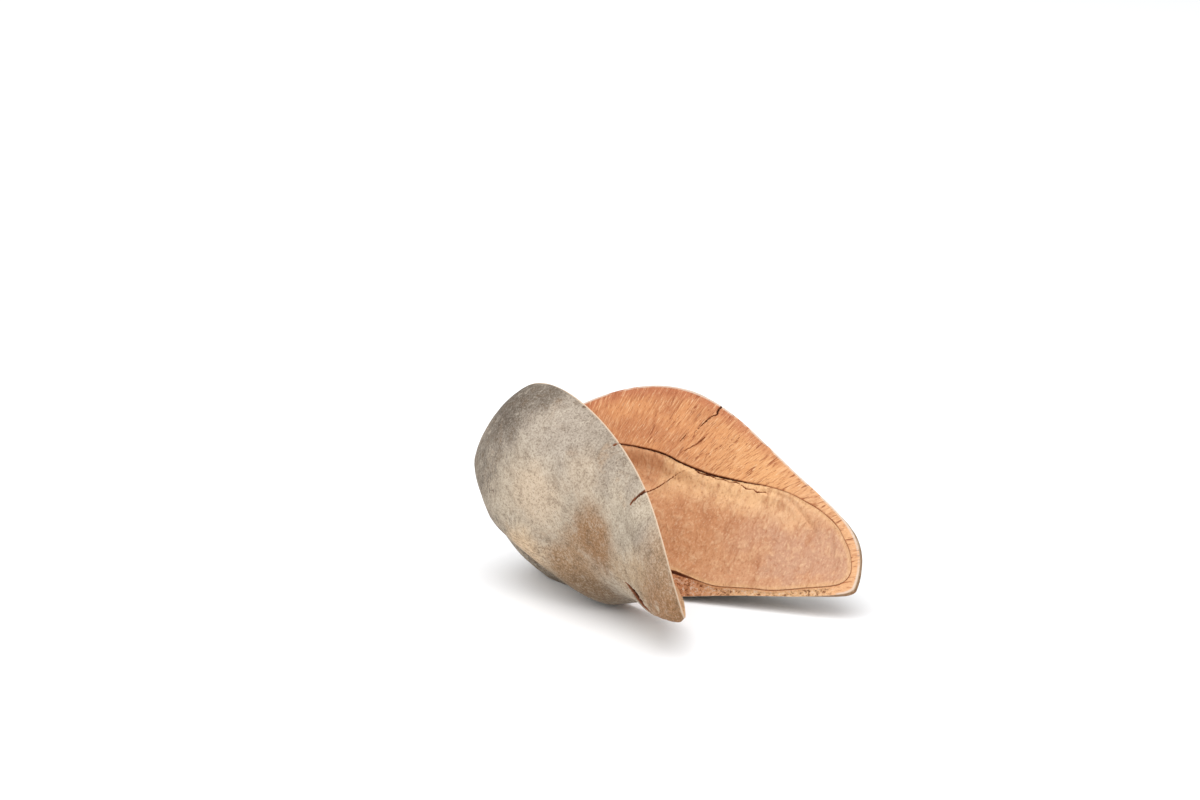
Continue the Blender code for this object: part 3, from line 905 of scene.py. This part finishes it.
def wall_colour(tree, place, fibres):
    streaks = clouds(tree, stretched(tree, fibres, STREAK_SCALE), 1.0, 5.0, 0.7, 0.5)
    hairs = clouds(tree, stretched(tree, fibres, HAIR_SCALE), 1.0, 4.0, 0.7, 0.3)
    splits = clouds(tree, stretched(tree, fibres, SPLIT_SCALE), 1.0, 3.0, 0.6, 0.8)
    broad = clouds(tree, place, 0.12, 4.0, 0.6)
    along = add_node(tree, "SeparateXYZ", {0: place}).outputs["X"]
    base = paint(tree, colour(206, 138, 92), colour(238, 176, 120), between(tree, along, 26.0, 52.0))
    base = layer(tree, base, (234, 166, 110), between(tree, broad, 0.46, 0.62), 0.6)
    base = layer(tree, base, (236, 180, 132), between(tree, along, 54.0, 66.0))
    outline_distance = stored(tree, "from_outline")
    ragged_edge = calculate(tree, "ADD", outline_distance,
                            times(tree, calculate(tree, "SUBTRACT", streaks, 0.5), 5.0))
    red_edge = times(tree, between(tree, ragged_edge, 3.2, 0.8), between(tree, along, 66.0, 40.0))
    base = layer(tree, base, (196, 120, 84), red_edge, 0.75)
    base = layer(tree, base, (178, 106, 64), between(tree, streaks, 0.48, 0.34), 0.75)
    base = layer(tree, base, (252, 200, 150), between(tree, streaks, 0.52, 0.68), 0.60)
    base = layer(tree, base, (160, 88, 50), between(tree, hairs, 0.43, 0.33), 0.85)
    base = layer(tree, base, (255, 216, 172), between(tree, hairs, 0.57, 0.68), 0.75)
    splits = times(tree, between(tree, splits, 0.42, 0.34), between(tree, along, 18.0, 28.0))
    base = layer(tree, base, (150, 80, 42), splits, 0.8)
    # A pale rim on the cut face right at its outline: a painted highlight standing in for a rounded edge.
    rim_highlight = times(tree, between(tree, outline_distance, 0.50, 0.20), between(tree, broad, 0.40, 0.50))
    base = layer(tree, base, (236, 218, 200), rim_highlight, 0.8)
    return base, calculate(tree, "ADD", streaks, times(tree, hairs, 0.7))


def lining_colour(tree, place, inside):
    wrinkles = clouds(tree, stretched(tree, place, WRINKLE_SCALE, WRINKLE_TURN), 1.0, 4.0, 0.6)
    leather = clouds(tree, stretched(tree, place, LEATHER_SCALE, LEATHER_TURN), 1.0, 3.0, 0.5, 0.6)
    broad = clouds(tree, place, 0.10, 5.0, 0.6)
    grain = clouds(tree, stretched(tree, place, GRAIN_SCALE), 1.0, 6.0, 0.75)
    parts = add_node(tree, "SeparateXYZ", {0: place}).outputs
    base = paint(tree, colour(208, 147, 102), colour(206, 157, 126), between(tree, parts["X"], 44.0, 62.0))
    base = layer(tree, base, (222, 164, 118), between(tree, broad, 0.44, 0.60), 0.5)
    # Paler and creamier toward the top of the bed, left of the tip: partly the lining's own colour and
    # partly a painted highlight along the upper border.
    cream_top_and_highlight = calculate(tree, "ADD", parts["Z"], times(tree, broad, 8.0))
    cream_top_and_highlight = times(tree, between(tree, cream_top_and_highlight, 9.0, 16.0), between(tree, parts["X"], 72.0, 52.0))
    base = layer(tree, base, (250, 202, 150), cream_top_and_highlight, 0.9)
    base = layer(tree, base, (240, 194, 142), between(tree, inside, 1.4, 0.4), 0.5)
    seed_body = calculate(tree, "ADD", parts["X"], times(tree, broad, 2.0))
    base = layer(tree, base, (224, 166, 120), between(tree, seed_body, 32.4, 31.2))
    base = layer(tree, base, (184, 122, 82), between(tree, wrinkles, 0.50, 0.34), 0.50)
    # Paler where the leathery undulations rise: a painted highlight on them.
    base = layer(tree, base, (246, 202, 158), between(tree, leather, 0.52, 0.66), 0.30)
    base = layer(tree, base, (252, 212, 172), between(tree, grain, 0.52, 0.66), 0.45)
    base = layer(tree, base, (176, 112, 72), between(tree, grain, 0.48, 0.34), 0.60)
    height = calculate(tree, "ADD", times(tree, wrinkles, 1.6), times(tree, grain, 0.5))
    return base, calculate(tree, "ADD", height, times(tree, leather, 3.0))


def strip_colour(tree, place):
    pores = clouds(tree, place, 1.5, 5.0, 0.75)
    along = add_node(tree, "SeparateXYZ", {0: place}).outputs["X"]
    base = paint(tree, colour(226, 152, 104), colour(252, 202, 150), between(tree, along, 44.0, 62.0))
    base = layer(tree, base, (130, 72, 40), between(tree, pores, 0.49, 0.38))
    base = layer(tree, base, (255, 232, 206), between(tree, pores, 0.54, 0.62), 0.8)
    return base, times(tree, pores, 3.0)


# %% The wood's finish
WOOD_ROUGHNESS = 0.7
WOOD_BUMP = 0.00020


def wood_finish(material):
    material.use_nodes = True
    tree = material.node_tree
    place = stored_place(tree)
    inside = stored(tree, "in_bed")
    wall, wall_height = wall_colour(tree, place, fibre_place(tree, place))
    lining, lining_height = lining_colour(tree, place, inside)
    strip, strip_height = strip_colour(tree, place)
    in_lining = between(tree, inside, -0.05, 0.10)
    in_strip = stored(tree, "keel_strip")
    base = paint(tree, paint(tree, wall, strip, in_strip), lining, in_lining)
    # Painted shade in the cracks and in the grooves along the bed's edge: the deeper they are, the darker
    # the paint, darkest in the groove under the lip at the keel.
    crack = stored(tree, "crack")
    base = layer(tree, base, (186, 116, 74), between(tree, crack, 0.04, 0.20))
    base = layer(tree, base, (104, 54, 30), between(tree, crack, 0.18, 0.55))
    height = mixed_height(tree, mixed_height(tree, wall_height, strip_height, in_strip),
                          lining_height, in_lining)
    finish_surface(tree, base, WOOD_ROUGHNESS, height, WOOD_BUMP)


wood_finish(wood_material)
print(wood_material.name, "has", len(wood_material.node_tree.nodes), "nodes")

# %% [markdown]
# ## The stalk scar
#
# Where the stalk dropped off, the scar is a round pit filled with corky fibres, with painted shade dark in
# its folds.

# %% The scar's finish
CORK_ROUGHNESS = 0.9
CORK_BUMP = 0.0006
FOLD_SCALE = (0.5, 1.0, 1.0)
CORK_THREAD_SCALE = (3.0, 1.2, 1.2)


def cork_finish(material):
    material.use_nodes = True
    tree = material.node_tree
    place = stored_place(tree)
    folds = clouds(tree, stretched(tree, place, FOLD_SCALE), 0.9, 5.0, 0.7, 0.8)
    threads = clouds(tree, stretched(tree, place, CORK_THREAD_SCALE), 1.0, 3.0, 0.5)
    # Dark where the folds sink in: painted shade in the folds.
    base = paint(tree, colour(96, 52, 28), colour(206, 140, 86), between(tree, folds, 0.38, 0.64))
    base = layer(tree, base, (228, 170, 112), between(tree, threads, 0.58, 0.74))
    finish_surface(tree, base, CORK_ROUGHNESS, calculate(tree, "ADD", folds, threads), CORK_BUMP)


cork_finish(cork_material)
print(cork_material.name, "has", len(cork_material.node_tree.nodes), "nodes")

# %% [markdown]
# ## Floor, light and camera
#
# A plain white floor and soft light from all round, stronger from the front, as in a product
# photograph. The camera looks at the pod from the photograph's angle, low and a little
# rolled, through a long lens.

# %% The floor
FLOOR_SIZE = 6.0
FLOOR_COLOUR = (0.91, 0.92, 0.935, 1.0)
FLOOR_ROUGHNESS = 0.9
bpy.ops.object.select_all(action="DESELECT")
bpy.ops.mesh.primitive_plane_add(size=FLOOR_SIZE, location=(0.0, 0.0, 0.0))
floor = bpy.context.object
floor.name = "floor"
floor_material = bpy.data.materials.new("white_floor")
floor_material.use_nodes = True
floor_shader = floor_material.node_tree.nodes["Principled BSDF"]
floor_shader.inputs["Base Color"].default_value = FLOOR_COLOUR
floor_shader.inputs["Roughness"].default_value = FLOOR_ROUGHNESS
floor_shader.inputs["Specular IOR Level"].default_value = 0.0
floor.data.materials.append(floor_material)

# %% The light
SKY_STRENGTH = 0.75
SOFTBOX_PLACE = (-0.5, -0.9, 1.7)
SOFTBOX_SIZE = 3.2
SOFTBOX_POWER = 62.0
world = bpy.context.scene.world or bpy.data.worlds.new("soft_light")
bpy.context.scene.world = world
world.use_nodes = True
background = world.node_tree.nodes["Background"]
background.inputs["Color"].default_value = (1.0, 1.0, 1.0, 1.0)
background.inputs["Strength"].default_value = SKY_STRENGTH
softbox_data = bpy.data.lights.new("front_softbox", "AREA")
softbox_data.size = SOFTBOX_SIZE
softbox_data.energy = SOFTBOX_POWER
softbox = bpy.data.objects.new("front_softbox", softbox_data)
bpy.context.scene.collection.objects.link(softbox)
softbox.location = SOFTBOX_PLACE
softbox.rotation_euler = (-Vector(SOFTBOX_PLACE)).to_track_quat("-Z", "Y").to_euler()
bpy.context.scene.view_settings.view_transform = "Standard"

# %% The camera
CAMERA_FROM_STALK_END = np.array([19.01, -679.14, 170.5])
CAMERA_TURN = (radians(77.3), radians(-2.8), radians(0.631))
CAMERA_LENS = 98.7
CAMERA_SENSOR = 36.0
camera_data = bpy.data.cameras.new("camera")
camera_data.lens = CAMERA_LENS
camera_data.sensor_width = CAMERA_SENSOR
camera = bpy.data.objects.new("camera", camera_data)
bpy.context.scene.collection.objects.link(camera)
camera.location = (CAMERA_FROM_STALK_END + stalk_end) * MM
camera.rotation_euler = CAMERA_TURN
bpy.context.scene.camera = camera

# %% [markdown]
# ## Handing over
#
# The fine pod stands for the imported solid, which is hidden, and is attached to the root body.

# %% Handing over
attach(pod, "root")
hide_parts(POD_NODE)
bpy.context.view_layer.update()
triangles = sum(len(face.vertices) - 2 for face in pod.data.polygons)
print("Pieces ready:", pod.name, "with", triangles, "triangles")
